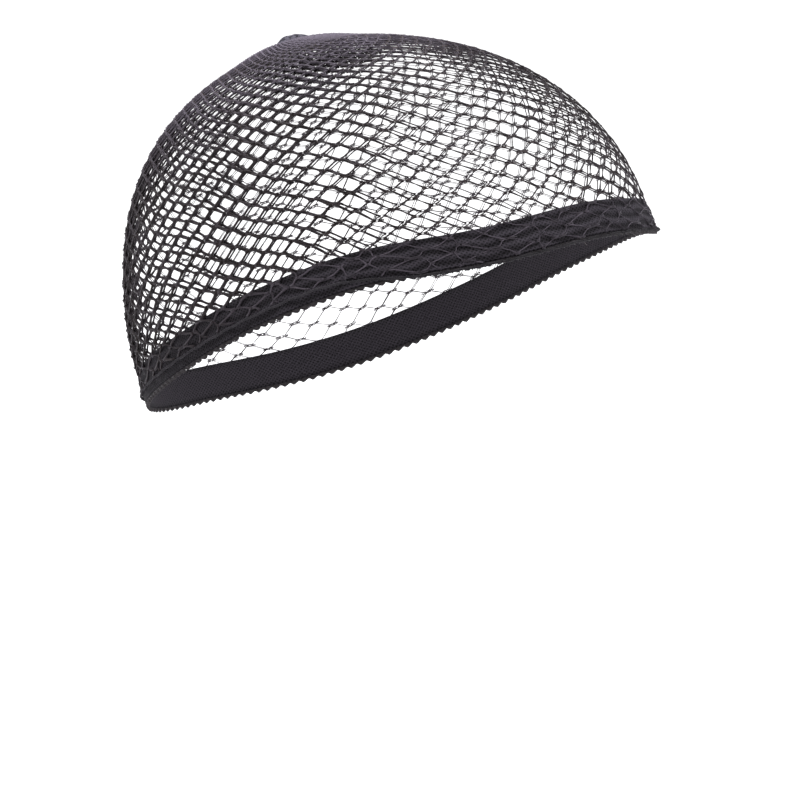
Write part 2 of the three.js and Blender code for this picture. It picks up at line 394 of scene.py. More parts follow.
class Lattice:
    """A sheared honeycomb of net cells, in columns round the cap and rows down it."""

    def __init__(self, sizes, seed, drift=None):
        self.columns, self.rows = sizes.columns, sizes.rows
        self.rng = np.random.default_rng(seed)
        self.drift = drift
        i, k = np.meshgrid(np.arange(self.columns), np.arange(-1, self.rows + 7), indexing="ij")
        self.column, self.row = i.ravel(), (k + np.mod(i * STAGGER, 1)).ravel()

    def wobble(self, x, w):
        """Slow random drift of the mesh, and a little for each knot."""
        a, b = x / self.columns * 2 * np.pi, w / self.rows * np.pi
        dx = 0.16 * np.sin(3 * a + 2.1 * b) + 0.12 * np.sin(7 * a - 3 * b + 1)
        dw = 0.14 * np.sin(4 * a + 2.6 * b + 2) + 0.1 * np.sin(9 * a + 5 * b)
        if self.drift is not None:
            more = self.drift(a, b)
            dx, dw = dx + more[0], dw + more[1]
        return x + dx, w + dw

    def knot(self, column, row):
        """Small offset of one knot, the same for each strand that meets there."""
        part = np.round(row * ROW_PARTS)
        across = np.sin(column * 12.9898 + part * 78.233) * 43758.5453
        down = np.sin(column * 39.3468 + part * 11.135) * 24634.6345
        return across - np.floor(across) - 0.5, down - np.floor(down) - 0.5

    def corner(self, column, row, side):
        """Place of a cell's top corner, left (-1) or right (1), as a column and a row."""
        column = np.asarray(column, float)
        dx, dw = self.knot(np.mod(column, self.columns) + 0.31 * side, row)
        x = column + OPEN_SIDE / 2 * side + KNOT_STRAY * dx
        w = row - 0.5 + KNOT_STRAY * dw
        return np.stack([x, w], -1)

    def to_surface(self, places):
        """Turn and share of the way down for places of columns and rows."""
        x, w = self.wobble(places[..., 0], places[..., 1])
        turn = (x - LEAN * w) / self.columns
        sideways = SURFACE.round_table(np.sin(SURFACE.azimuth) ** 2, turn)
        crowding = CROWDING + SIDE_CROWDING * sideways
        free = SURFACE.share_of(turn, BAND_TOP - 0.5)
        share = w / self.rows
        drawn_up = DRAWN_UP * crowding * np.maximum(share - WIDEST_SHARE, 0) ** 2
        share = (1 - crowding) * share + crowding * share**2 - drawn_up
        sewn = np.maximum(share - free, 0)
        stray = np.sin(34 * np.pi * turn + 40 * share)
        stray = stray + 0.7 * np.sin(86 * np.pi * turn - 30 * share)
        turn = turn + SEWN_STRAY / self.columns * stray * smooth(sewn, 0, 0.03)
        return turn, np.minimum(share, free) + OVER_ELASTIC * sewn


def bezier(corners, at):
    """Cubic through four control places at shares of shape (strands, points)."""
    a, b, c, d = (corners[:, k][:, None] for k in range(4))
    t = at[..., None]
    s = 1 - t
    return a * s**3 + 3 * b * s**2 * t + 3 * c * s * t**2 + d * t**3


def cell_sides(lattice):
    """Control places of each cell's heavy side, light side and open side."""
    i, row = lattice.column, lattice.row
    left, right = lattice.corner(i, row, -1), lattice.corner(i, row, 1)
    below_left = lattice.corner(i + 1, row + STAGGER, -1)
    below_right = lattice.corner(i + 1, row + STAGGER, 1)
    above_left = lattice.corner(i + 1, row + STAGGER - 1, -1)
    above_right = lattice.corner(i + 1, row + STAGGER - 1, 1)

    def eased(start, a, b, end):
        return np.stack([a + ROUNDING * (start - a), a, b, b + ROUNDING * (end - b)], 1)

    heavy = eased(left, right, below_left, below_right)
    light = eased(left, right, above_left, above_right)
    past = OVERHANG * (right - left)
    open_side = np.stack([left - past, left, right, right + past], 1)
    return heavy, light, open_side


def pitch_at(turn, share, columns):
    """Width of a column in millimetres."""
    run = share * SURFACE.whole_at(turn)
    return np.minimum(run * 2 * np.pi, RIM_LENGTH) / columns


def all_round(run):
    """An edge of the net that lies at one run all round."""
    return lambda turn: np.full_like(turn, run)


def strand_paths(lattice, corners, steps, lowest, highest, lift_at):
    """Points, normals, column widths and runs of the strands that lie between two edges."""
    tried = np.broadcast_to(np.linspace(0, 1, TRIAL_STEPS + 1), (len(corners), TRIAL_STEPS + 1))
    turn, share = lattice.to_surface(bezier(corners, tried))
    run = SURFACE.run_of(turn, share)
    inside = (run > highest(turn)) & (run < lowest(turn))
    kept = inside.sum(1) >= 3
    corners, inside = corners[kept], inside[kept]
    first = inside.argmax(1) / TRIAL_STEPS
    last = 1 - inside[:, ::-1].argmax(1) / TRIAL_STEPS
    at = first[:, None] + (last - first)[:, None] * np.linspace(0, 1, steps + 1)
    turn, share = lattice.to_surface(bezier(corners, at))
    run = SURFACE.run_of(turn, share)
    points, normals = SURFACE.place(turn, share, lift_at(run))
    return points, normals, pitch_at(turn, share, lattice.columns), run


def wound_ply(paths, normals, off, phase, fold):
    """Centre lines of one ply that winds round each strand."""
    along = unit(np.gradient(paths, axis=1))
    side = unit(np.cross(along, normals))
    out = np.cross(side, along)
    steps = np.linspace(0, 1, paths.shape[1])
    angle = (phase + PLY_TWIST * steps[None] * 2 * np.pi + fold)[..., None]
    return paths + off * (np.cos(angle) * side + np.sin(angle) * out)


def net_lift(base, rise):
    """Lift of a layer's strands by run: a little more where they climb to the gather."""
    return lambda run: base + rise * from_table(run, GATHER_RISE_RUNS, GATHER_RISES)


# ---- Materials


MIX_FACTOR, MIX_A, MIX_B, MIX_RESULT = 0, 6, 7, 2  # sockets of a colour mix
THREAD_PITCH = 1.6  # mm between the elastic's crossing threads
THREAD_LEAN = 1.3


def shader_of(material):
    return material.node_tree.nodes["Principled BSDF"]


def new_material(name, roughness, sheen, specular=0.2):
    material = bpy.data.materials.new(name)
    material.use_nodes = True
    shader = shader_of(material)
    shader.inputs["Roughness"].default_value = roughness
    shader.inputs["Sheen Weight"].default_value = sheen
    shader.inputs["Sheen Roughness"].default_value = 0.45
    shader.inputs["Sheen Tint"].default_value = (*colours_now().sheen, 1)
    shader.inputs["Specular IOR Level"].default_value = specular
    return material


def node(material, kind, **values):
    made = material.node_tree.nodes.new(kind)
    for name, value in values.items():
        setattr(made, name, value)
    return made


def link(material, source, target):
    material.node_tree.links.new(source, target)


def noise(material, source, scale, detail):
    made = node(material, "ShaderNodeTexNoise")
    made.inputs["Scale"].default_value = scale
    made.inputs["Detail"].default_value = detail
    link(material, source, made.inputs["Vector"])
    return made


def scaled_sum(material, value, factor, added):
    """A value times a factor, plus another value."""
    made = node(material, "ShaderNodeMath", operation="MULTIPLY_ADD")
    link(material, value, made.inputs[0])
    made.inputs[1].default_value = factor
    link(material, added, made.inputs[2])
    return made.outputs[0]


def colour_by(material, value, low, high, dark, light):
    """Base colour that goes from dark to light as the value goes from low to high."""
    ramp = node(material, "ShaderNodeMapRange")
    ramp.inputs["From Min"].default_value = low
    ramp.inputs["From Max"].default_value = high
    link(material, value, ramp.inputs["Value"])
    mix = node(material, "ShaderNodeMix", data_type="RGBA")
    mix.inputs[MIX_A].default_value = (*dark, 1)
    mix.inputs[MIX_B].default_value = (*light, 1)
    link(material, ramp.outputs["Result"], mix.inputs[MIX_FACTOR])
    link(material, mix.outputs[MIX_RESULT], shader_of(material).inputs["Base Color"])


def relief(material, height, strength, distance):
    """A bump node, linked to the shader."""
    bump = node(material, "ShaderNodeBump")
    bump.inputs["Strength"].default_value = strength
    bump.inputs["Distance"].default_value = distance
    link(material, height, bump.inputs["Height"])
    link(material, bump.outputs["Normal"], shader_of(material).inputs["Normal"])
    return bump


def yarn_material(name, dark, light, roughness, sheen, depth=0.05, fibres=0.9):
    """Spun nylon: fibres wound along each strand, and fuzz and tone that vary over it."""
    material = new_material(name, roughness, sheen)
    uv = node(material, "ShaderNodeUVMap", uv_map="yarn")
    stretch = node(material, "ShaderNodeMapping")
    stretch.inputs["Scale"].default_value = (1 / MM, 1 / MM, 1)
    link(material, uv.outputs["UV"], stretch.inputs["Vector"])
    wave = node(material, "ShaderNodeTexWave", wave_type="BANDS", bands_direction="DIAGONAL")
    wave.inputs["Scale"].default_value = fibres
    wave.inputs["Distortion"].default_value = 1.6
    wave.inputs["Detail"].default_value = 2
    wave.inputs["Detail Scale"].default_value = 2.5
    link(material, stretch.outputs["Vector"], wave.inputs["Vector"])
    place = node(material, "ShaderNodeTexCoord").outputs["Object"]
    fuzz = noise(material, place, scale=2600, detail=3).outputs["Fac"]
    patch = noise(material, place, scale=90, detail=2).outputs["Fac"]
    # The tone attribute carries painted light and shade, set by each piece.
    tone = node(material, "ShaderNodeAttribute", attribute_name="tone").outputs["Fac"]
    value = scaled_sum(material, patch, 0.4, scaled_sum(material, fuzz, 0.5, tone))
    colour_by(material, value, 0.35, 1.5, dark, light)
    fibre = relief(material, wave.outputs["Fac"], 0.6, depth * MM)
    fuzzy = relief(material, fuzz, 0.4, 0.5 * depth * MM)
    link(material, fibre.outputs["Normal"], fuzzy.inputs["Normal"])
    return material


def elastic_material(colours):
    """Knitted elastic: threads that cross on the bias, with painted shade in the small hollows
    between them.
    """
    material = new_material("ribbed_elastic", roughness=0.85, sheen=0.03, specular=0.1)
    uv = node(material, "ShaderNodeUVMap", uv_map="yarn").outputs["UV"]
    stray = noise(material, uv, scale=320, detail=2)
    strayed = node(material, "ShaderNodeVectorMath", operation="MULTIPLY_ADD")
    link(material, stray.outputs["Color"], strayed.inputs[0])
    strayed.inputs[1].default_value = (1.1 * MM, 0.8 * MM, 0)
    link(material, uv, strayed.inputs[2])
    split = node(material, "ShaderNodeSeparateXYZ")
    link(material, strayed.outputs[0], split.inputs["Vector"])
    knit = node(material, "ShaderNodeMath", operation="MAXIMUM")
    for k, lean in enumerate((THREAD_LEAN, -THREAD_LEAN)):
        across = scaled_sum(material, split.outputs["Y"], lean, split.outputs["X"])
        angle = node(material, "ShaderNodeMath", operation="MULTIPLY")
        link(material, across, angle.inputs[0])
        angle.inputs[1].default_value = 2 * np.pi / (THREAD_PITCH * MM)
        thread = node(material, "ShaderNodeMath", operation="SINE")
        link(material, angle.outputs[0], thread.inputs[0])
        link(material, thread.outputs[0], knit.inputs[k])
    place = node(material, "ShaderNodeTexCoord").outputs["Object"]
    fuzz = noise(material, place, scale=2200, detail=4).outputs["Fac"]
    # Colour follows the relief: lighter on the threads, painted shade in the hollows between
    # them.
    height = scaled_sum(material, fuzz, 1.4, knit.outputs[0])
    # The tone attribute here carries the band's painted ridge highlights, edge shade and front
    # light.
    fold = node(material, "ShaderNodeAttribute", attribute_name="tone").outputs["Fac"]
    shade = scaled_sum(material, fold, 1.6, height)
    colour_by(material, shade, 0.7, 4.4, colours.elastic_dark, colours.elastic_light)
    relief(material, height, 0.8, 0.12 * MM)
    return material


# ---- Properties


class CapSizes(bpy.types.PropertyGroup):
    """Counts and thicknesses of the cap's yarns."""

    columns: IntProperty(
        name="Columns", description="Columns of net cells round the cap", default=90, min=30
    )
    rows: IntProperty(
        name="Rows", description="Rows of net cells from gather to rim", default=27, min=8
    )
    heavy: FloatProperty(
        name="Heavy side",
        description="Width of a cell's twisted side",
        default=0.00054,
        unit="LENGTH",
    )
    light: FloatProperty(
        name="Light side",
        description="Width of a cell's single side",
        default=0.00035,
        unit="LENGTH",
    )
    inner: FloatProperty(
        name="Inner side",
        description="Width of the inner layer's thicker sides",
        default=0.00036,
        unit="LENGTH",
    )
    filament: FloatProperty(
        name="Filament",
        description="Width of the fine threads across a cell's open side",
        default=0.00026,
        unit="LENGTH",
    )
    teeth: IntProperty(
        name="Picot teeth", description="Small loops along the lower edge", default=160, min=20
    )


class CapColours(bpy.types.PropertyGroup):
    """Linear colours of the cap's yarns."""

    net_dark: FloatVectorProperty(
        name="Net, dark",
        description="Outer net in its hollows",
        default=(0.006, 0.003, 0.0018),
        subtype="COLOR",
    )
    # Painted light: the light end is reached mostly towards the crown, where the tone adds
    # painted top light.
    net_light: FloatVectorProperty(
        name="Net, light",
        description="Outer net on its fibres",
        default=(0.098, 0.083, 0.108),
        subtype="COLOR",
    )
    filament: FloatVectorProperty(
        name="Filament",
        description="Fine threads",
        default=(0.055, 0.040, 0.034),
        subtype="COLOR",
    )
    # Dark in the hollows between stitches, light on them and the ridges: painted shade and
    # highlight.
    elastic_dark: FloatVectorProperty(
        name="Elastic, dark",
        description="Between the stitches",
        default=(0.003, 0.0025, 0.003),
        subtype="COLOR",
    )
    elastic_light: FloatVectorProperty(
        name="Elastic, light",
        description="On the stitches",
        default=(0.048, 0.042, 0.052),
        subtype="COLOR",
    )
    sheen: FloatVectorProperty(
        name="Sheen",
        description="Soft light that the fibres catch",
        default=(0.75, 0.70, 0.85),
        subtype="COLOR",
    )


def sizes_now():
    return bpy.context.scene.wig_net_sizes


def colours_now():
    return bpy.context.scene.wig_net_colours


# ---- Net pieces

LOOSE_TURN = 0.87 * 2 * np.pi  # where the two layers lie furthest out of register
SIDE_SLACK = 1.35  # how much fuller the strands are over the slack side
TIGHT_SIDE = 0.34  # how much finer where both layers are drawn tight
BUNCHED = 0.6  # how much fuller where they bunch at the gather
CROWN_FINENESS = 0.15
KNOT_FILL = 0.45  # growth of a strand's width towards its knots
# Painted light: how much lighter the yarn is made towards the crown, for the light from above.
CROWN_PAINTED_LIGHT = 0.96
# Partly lighter yarn over the band, partly painted light: it is scaled by the painted front
# light.
RIM_LIGHT = 0.42
# Each layer's lowest and highest run, and its lift from the head
OUTER_BOUNDS = (hem_run, all_round(3.6), net_lift(1.6, 1.4))
INNER_BOUNDS = (all_round(BAND_TOP + 0.2), all_round(2.5), net_lift(0.7, 0.0))
SINGLE_BELOW = 2.0  # column width, in millimetres, under which a heavy side is one strand
SINGLE_FULLNESS = 1.12
PLY_SHARE = 0.62  # width of a ply as a share of its strand
PLY_TWIST = 0.55  # turns of a ply along a strand
MOST_OF_COLUMN = 0.38  # largest radius of a strand or ply, in columns
MOST_FOR_PLIES = 0.46
HEAVY_SUNK, LIGHT_SUNK = 0.27, 0.15  # how much finer they look, sunk into the elastic
INNER_SLOPE = 0.62  # rows that the inner layer drifts up for each column it drifts on
FILAMENT_SPREAD = 0.38  # mm between the fine threads of an open side
OUTER_SEED, INNER_SEED = 5, 11


def net_material(name, shade):
    colours = colours_now()
    dark = [shade * c for c in colours.net_dark]
    light = [shade * c for c in colours.net_light]
    return yarn_material(name, dark, light, roughness=0.7, sheen=0.05)


def filament_material(name):
    colours = colours_now()
    dark = [0.3 * c for c in colours.net_light]
    light = colours.filament
    return yarn_material(name, dark, light, roughness=0.5, sheen=0.08, depth=0.02, fibres=1.2)


def drawn_tight(points):
    """1 on the side of the cap where both layers lie in register and tight, 0 on the other."""
    around = np.arctan2(points[..., 0], GATHER_BEHIND - points[..., 1])
    return smooth(-np.cos(around - LOOSE_TURN), 0, 0.4)


def strand_radius(width, pitch, most, points=None):
    """Radius in mm of strands in columns of a width (pitch), at most a share of it."""
    fuller = 1 + BUNCHED * (1 - smooth(pitch, 0.9, 2.0))
    fuller = fuller - CROWN_FINENESS * smooth(pitch, 1.4, 2.2) * (1 - smooth(pitch, 2.5, 4))
    if points is not None:
        azimuth = np.degrees(np.arctan2(-points[..., 0], -points[..., 1]))
        side = smooth(azimuth, 20, 95) * (1 - smooth(azimuth, 130, 180))
        side = side * smooth(pitch, 1.6, 4.2)
        fuller = fuller + SIDE_SLACK * side
        fuller = fuller - TIGHT_SIDE * drawn_tight(points)
    return np.minimum(fuller * width / MM / 2, pitch * most)


def towards_knots(points):
    """Growth of a strand's width towards the knots at its ends, which rounds the cells."""
    fill = KNOT_FILL * (1 - drawn_tight(points))
    return 1 + fill * np.linspace(-1, 1, points.shape[1]) ** 2


def single_radius(width, pitch, points):
    """Radius of a side that is one strand."""
    radius = strand_radius(width * SINGLE_FULLNESS, pitch, MOST_OF_COLUMN, points)
    return radius * towards_knots(points)


def over_elastic(run):
    """1 where the outer net lies over the elastic, 0 above it."""
    return smooth(run, BAND_TOP - 1, BAND_TOP + 1)


def sunk(points, normals, over):
    """Strands over the elastic, drawn into its knit here and there."""
    angle = np.arctan2(points[..., 0], points[..., 1])
    waves = np.sin(31 * angle + 1.1 * points[..., 2]) + np.sin(53 * angle - 0.7 * points[..., 2])
    return points - normals * (over * (0.1 + 0.16 * waves))[..., None]


def painted_front_light(points):
    """Painted front light on the rim's yarn: full at the brow, little past the ears, which it
    leaves in painted shade.
    """
    forward = -points[..., 1] / np.hypot(points[..., 0], points[..., 1])
    return 0.1 + 0.9 * smooth(forward, -0.3, 0.6)


def crown_painted_light(run):
    """Painted light: extra lightness of the yarn towards the crown, which faces the top light
    and its sheen.
    """
    return CROWN_PAINTED_LIGHT * (1 - smooth(run, 18, 90))


def outer_strands(lattice, corners, steps):
    """Outer net's sides: paths, column widths, place over the band, and a tone with painted
    light.
    """
    points, normals, pitch, run = strand_paths(lattice, corners, steps, *OUTER_BOUNDS)
    over = over_elastic(run)
    points = sunk(points, normals, over)
    return points, normals, pitch, over, crown_painted_light(run) + RIM_LIGHT * over * painted_front_light(points)


def filaments(lattice, points, normals, pitch, index, width, tone):
    """One of the fine threads that spread across an open side and bow apart."""
    count, length = points.shape[:2]
    side = np.cross(unit(np.gradient(points, axis=1)), normals)
    bow = np.sin(np.linspace(0, np.pi, length))[None]
    reach = (index - 1) * FILAMENT_SPREAD + lattice.rng.uniform(-0.2, 0.2, (count, 1))
    tilt = np.linspace(-1, 1, length)[None] * lattice.rng.uniform(-0.25, 0.25, (count, 1))
    up = lattice.rng.uniform(-0.2, 0.25, (count, 1)) * bow
    shift = side * (reach * bow + tilt)[..., None] + normals * up[..., None]
    bowed = points + shift * np.minimum(1, pitch / 3)[..., None]
    return tubes(bowed, normals, strand_radius(width, pitch, 0.16), 3, tone)


def build_outer_net():
    """The layer on the outside, with two-ply and single sides, and its fine threads."""
    sizes = sizes_now()
    lattice = Lattice(sizes, OUTER_SEED)
    heavy, light, open_side = cell_sides(lattice)
    points, normals, pitch, over, tone = outer_strands(lattice, heavy, 4)
    filled = towards_knots(points) * (1 - HEAVY_SUNK * over)
    radii = strand_radius(PLY_SHARE * sizes.heavy, pitch, MOST_OF_COLUMN, points) * filled
    whole = strand_radius(sizes.heavy, pitch, MOST_FOR_PLIES, points) * filled
    off = (whole - 0.9 * radii)[..., None]
    fold = lattice.rng.uniform(0, 2 * np.pi, (len(points), 1))
    single = pitch.mean(1) < SINGLE_BELOW
    plied = ~single
    parts = []
    for phase in (0, np.pi):
        wound = wound_ply(points[plied], normals[plied], off[plied], phase, fold[plied])
        parts += tubes(wound, normals[plied], radii[plied], 3, tone[plied], spin=fold[plied])
    parts += tubes(points[single], normals[single], 1.5 * radii[single], 4, tone[single])
    points, normals, pitch, over, tone = outer_strands(lattice, light, 3)
    radii = single_radius(sizes.light, pitch, points) * (1 - LIGHT_SUNK * over)
    parts += tubes(points, normals, radii, 3, tone, spin=np.pi / 6)
    yarn = net_material("net_yarn", 1.0)
    net = add_mesh("net_outer_strands", parts, yarn, ["outer_net"])

    parts = []
    points, normals, pitch, run = strand_paths(lattice, open_side, 3, *OUTER_BOUNDS)
    # Painted light lightens the fine threads towards the crown; over the band they are darker.
    tone = 0.6 + 0.5 * crown_painted_light(run) - 0.6 * over_elastic(run)
    for k in range(3):
        parts += filaments(lattice, points, normals, pitch, k, sizes.filament, tone)
    fine = add_mesh("net_outer_filaments", parts, filament_material("net_filament"))
    return net, fine


def inner_drift(a, b):
    """Columns and rows by which the inner layer lies off the outer one."""
    loose = 0.2 + 0.8 * smooth(np.cos(a - LOOSE_TURN), -0.5, 0.1)
    free = (0.12 + 0.88 * smooth(b, 0.7, 1.7)) * loose
    along = free * (0.2 + 0.17 * np.sin(5 * a + 1.3 * b + 0.7))
    down = free * 0.07 * np.sin(6 * b + 3 * a + 2)
    return along, down - INNER_SLOPE * along


def build_inner_net():
    """The layer that lies on the head, all of single strands."""
    sizes = sizes_now()
    lattice = Lattice(sizes, INNER_SEED, inner_drift)
    heavy, light, open_side = cell_sides(lattice)
    parts = []
    for corners, width in ((heavy, sizes.inner), (light, 0.7 * sizes.inner)):
        points, normals, pitch, run = strand_paths(lattice, corners, 4, *INNER_BOUNDS)
        radii = single_radius(width, pitch, points)
        # Painted shade: the inner layer darkens towards the crown, under the outer one.
        tone = 0.05 * (1 - crown_painted_light(run))
        parts += tubes(points, normals, radii, 3, tone, spin=np.pi / 6)
    points, normals, pitch, _ = strand_paths(lattice, open_side, 2, *INNER_BOUNDS)
    for k in (0, 2):
        parts += filaments(lattice, points, normals, pitch, k, 0.8 * sizes.filament, 0.5)
    yarn = net_material("inner_yarn", 1.15)
    return add_mesh("net_inner_strands", parts, yarn, ["inner_net"])


# ---- Edge and crown pieces

RIB_PITCH = 1.6  # mm
RIDGE_PITCH = 3.7  # mm
BAND_STITCHES = 420
BAND_TURNS, FRONT_ROWS, BACK_ROWS = 1280, 37, 5
TOOTH_STEPS = 12
TOOTH_RISE, TOOTH_FALL = 0.72, 0.28  # shares of a tooth's length
HEM_STEPS = 1440
HEM_TWISTS = 240
HEM_STITCHES = 260
BUTTON_LEAN = -137.0  # azimuth of the button's steep side
BUTTON_RADIUS = 7.2
BUTTON_SKIRT = 2.4
BUTTON_CELL = 2.0
BUTTON_TURNS, BUTTON_ROWS = 200, 44
BUTTON_LOOPS = 30
BUTTON_SEED = 21


def ring_path(turn, run, lift):
    """One path round the cap, as tubes takes it."""
    points, normals = SURFACE.place_run(turn, run, lift)
    return points[None], normals[None]


def build_elastic():
    """A knitted band, ridged outside and flat inside."""
    width = BAND_LOW - BAND_TOP
    turn = np.arange(BAND_TURNS)[:, None] / BAND_TURNS
    circle = 2 * np.pi * turn
    v = np.linspace(0, 1, FRONT_ROWS)[None]
    wave = np.cos(2 * np.pi * v * width / RIB_PITCH)
    ribs = 0.5 - 0.5 * wave
    stitches = 0.5 + 0.5 * np.sin(2 * np.pi * BAND_STITCHES * turn + 1.6 * wave)
    edge = smooth(np.minimum(v, 1 - v) * width, 0, 0.7)
    slack = 0.08 * np.sin(circle * 37 + 3 * v) + 0.06 * np.sin(circle * 83)
    sway = 0.16 * np.sin(circle * 19 + 1) + 0.1 * np.sin(circle * 43)
    ridges = 0.5 + 0.5 * np.cos(2 * np.pi * (v * width / RIDGE_PITCH + sway))
    lift = 0.6 + (0.4 + 0.45 * ridges + 0.1 * ribs + 0.05 * stitches * ribs + slack) * edge
    outer = SURFACE.place_run(turn, BAND_TOP + v * width, lift)[0]
    back = np.linspace(1, 0, BACK_ROWS + 2)[None, 1:-1]
    inner = SURFACE.place_run(turn, BAND_TOP + back * width, 0.05)[0]
    tone = np.full((BAND_TURNS, FRONT_ROWS + BACK_ROWS), 0.6)
    # Painted light: lighter on the ridges' crests, painted shade towards the band's edges, and
    # painted front light.
    tone[:, :FRONT_ROWS] = ridges * (0.4 + 0.6 * edge) * painted_front_light(outer)
    u = np.arange(BAND_TURNS + 1) / BAND_TURNS * RIM_LENGTH
    across = np.concatenate([v[0], back[0], [0]]) * width
    section = np.concatenate([outer, inner], axis=1)
    parts = [sheet_part(section, (u, across), tone.ravel(), tubular=True)]
    material = elastic_material(colours_now())
    return add_mesh("elastic_ribbed", parts, material, ["elastic_band"])


def build_picot():
    """Saw-toothed loops in two rolls along the elastic's lower edge, and a thread on each."""
    dark, light = (0.003, 0.002, 0.002), (0.024, 0.020, 0.022)
    material = yarn_material("picot_yarn", dark, light, roughness=0.75, sheen=0.05)
    teeth = sizes_now().teeth
    turn = np.arange(teeth * TOOTH_STEPS) / (teeth * TOOTH_STEPS)
    tooth = np.mod(turn * teeth, 1)
    falling = 1 - smooth((tooth - TOOTH_RISE) / TOOTH_FALL)
    saw = np.where(tooth < TOOTH_RISE, smooth(tooth / TOOTH_RISE), falling)
    parts = []
    for k, (root, full, lift) in enumerate(((0.3, 0.42, 0.7), (0.2, 0.3, 1.1))):
        radius = root + full * np.roll(saw, 2 * k) * (1 - 0.15 * k)
        points, normals = ring_path(turn, BAND_LOW - 0.05 + 0.75 * radius, lift)
        parts += tubes(points, normals, radius, 7, 0.35 + 0.3 * saw, closed=True, flat=0.75)
    for k, shift in enumerate((0.0, 0.09)):
        loop = np.roll(saw, round(shift * TOOTH_STEPS))
        points, normals = ring_path(turn, BAND_LOW + 0.3 + 0.85 * loop - 0.2 * k, 1.05 - 0.5 * k)
        parts += tubes(points, normals, 0.17, 5, 0.7, closed=True)
    return add_mesh("picot_loops", parts, material, ["picot_edge"])


def build_hem():
    """The outer net's edge, rolled in three strands and sewn over."""
    dark, light = (0.004, 0.003, 0.004), (0.042, 0.038, 0.045)
    material = yarn_material("hem_yarn", dark, light, roughness=0.7, sheen=0.05)
    turn = np.arange(HEM_STEPS) / HEM_STEPS
    middle = hem_run(turn) + GAP + HEM_WIDTH / 2
    # Painted highlight: the hem is lighter where it stands as a ridge high above the rim, at the
    # sides and back.
    tone = 0.02 + 0.35 * smooth(RUN - middle, 2.5, 4.5)
    parts = []
    for k in range(3):
        angle = 2 * np.pi * (k / 3 + turn * HEM_TWISTS)
        run = middle + 0.24 * np.cos(angle) + 0.12 * np.sin(2 * np.pi * turn * 57)
        lift = 2.0 + 0.22 * np.sin(angle) + 0.12 * np.sin(2 * np.pi * turn * 91)
        points, normals = ring_path(turn, run, lift)
        parts += tubes(points, normals, 0.2, 4, tone, closed=True)
    at = np.arange(HEM_STITCHES) / HEM_STITCHES
    under = (at * HEM_STEPS).astype(int)
    s = np.linspace(-1, 1, 7)[None]
    turn = at[:, None] + s * 0.32 / HEM_STITCHES
    run = middle[under][:, None] + s * 0.62
    points, normals = SURFACE.place_run(turn, run, 2.35 - 0.75 * s**2)
    parts += tubes(points, normals, 0.13, 4, tone[under][:, None])
    return add_mesh("hem_rolled", parts, material, ["hem"])


def button_height(turn, w):
    """Height of the button over the head form: a low mound, steep on one side only."""
    towards = np.cos(2 * np.pi * turn - np.radians(BUTTON_LEAN))
    level = 5.6 + 0.4 * towards * np.minimum(w / 0.8, 1)
    return level + (2.95 - level) * smooth(w, 0.2, 1.0)


def button_cells(turn, run):
    """1 in the small dimples of the bunched net, 0 on the strands between them."""
    x, y = run * np.cos(2 * np.pi * turn), run * np.sin(2 * np.pi * turn)
    total = 0
    for angle in np.radians((10, 70, 130)):
        total = total + np.cos(2 * np.pi / BUTTON_CELL * (x * np.cos(angle) + y * np.sin(angle)))
    return smooth(total, -0.4, 2.0)


def button_reach(turn):
    """Run at the button's edge, further out on its flat side."""
    away = 0.5 - 0.5 * np.cos(2 * np.pi * turn - np.radians(BUTTON_LEAN))
    return BUTTON_RADIUS + BUTTON_SKIRT * away


def build_gather():
    """The button of bunched net at the crown, with loops drawn through it."""
    dark, light = (0.006, 0.005, 0.007), (0.062, 0.057, 0.076)
    material = yarn_material("gathered_net", dark, light, roughness=0.75, sheen=0.12, depth=0.06)
    way = np.linspace(0.01, 1, BUTTON_ROWS)
    t, w = np.meshgrid(np.arange(BUTTON_TURNS) / BUTTON_TURNS, way, indexing="ij")
    run = button_reach(t) * w
    cells = button_cells(t, run)
    fluff = 0.1 * np.sin(2 * np.pi * 11 * t + 5 * w) + 0.08 * np.sin(2 * np.pi * 23 * t - 9 * w)
    lift = button_height(t, w) - 0.5 * cells + fluff * smooth(w, 0.2, 0.6)
    dome = SURFACE.place_run(t, run, lift)[0]
    u = np.arange(BUTTON_TURNS + 1) / BUTTON_TURNS * 30
    # Painted shade: the dimples are darker than the strands between them.
    parts = [sheet_part(dome, (u, way * 5.6), (0.95 - 0.95 * cells).ravel())]
    rng = np.random.default_rng(BUTTON_SEED)
    s = np.linspace(0, 1, 9)
    for _ in range(BUTTON_LOOPS):
        t = rng.uniform(0, 1) + s * rng.uniform(-0.12, 0.12)
        w = np.clip(rng.uniform(0.05, 0.5) + s * rng.uniform(0.2, 0.5), 0.04, 0.98)
        height = button_height(t, w) - 0.05 + 0.06 * np.sin(np.pi * s)
        points, normals = ring_path(t, button_reach(t) * w, height)
        parts += tubes(points, normals, rng.uniform(0.12, 0.2), 5, rng.uniform(0.5, 0.9))
    return add_mesh("crown_button", parts, material, ["crown_gather"])


def build_loose_ends():
    """A short end of thread that hangs from the edge at the brow."""
    dark, light = (0.012, 0.009, 0.009), (0.05, 0.04, 0.04)
    material = yarn_material("loose_yarn", dark, light, roughness=0.6, sheen=0.3, depth=0.03)
    s = np.linspace(0, 1, 7)
    run, lift = BAND_LOW + 0.4 + 2.0 * s, 1.2 + 1.1 * s - 0.4 * s**2
    points, normals = ring_path(0.985 + 0.0016 * s, run, lift)
    parts = tubes(points, normals, 0.2 - 0.08 * s, 5, 0.5)
    return add_mesh("loose_end", parts, material)


# ---- Stage

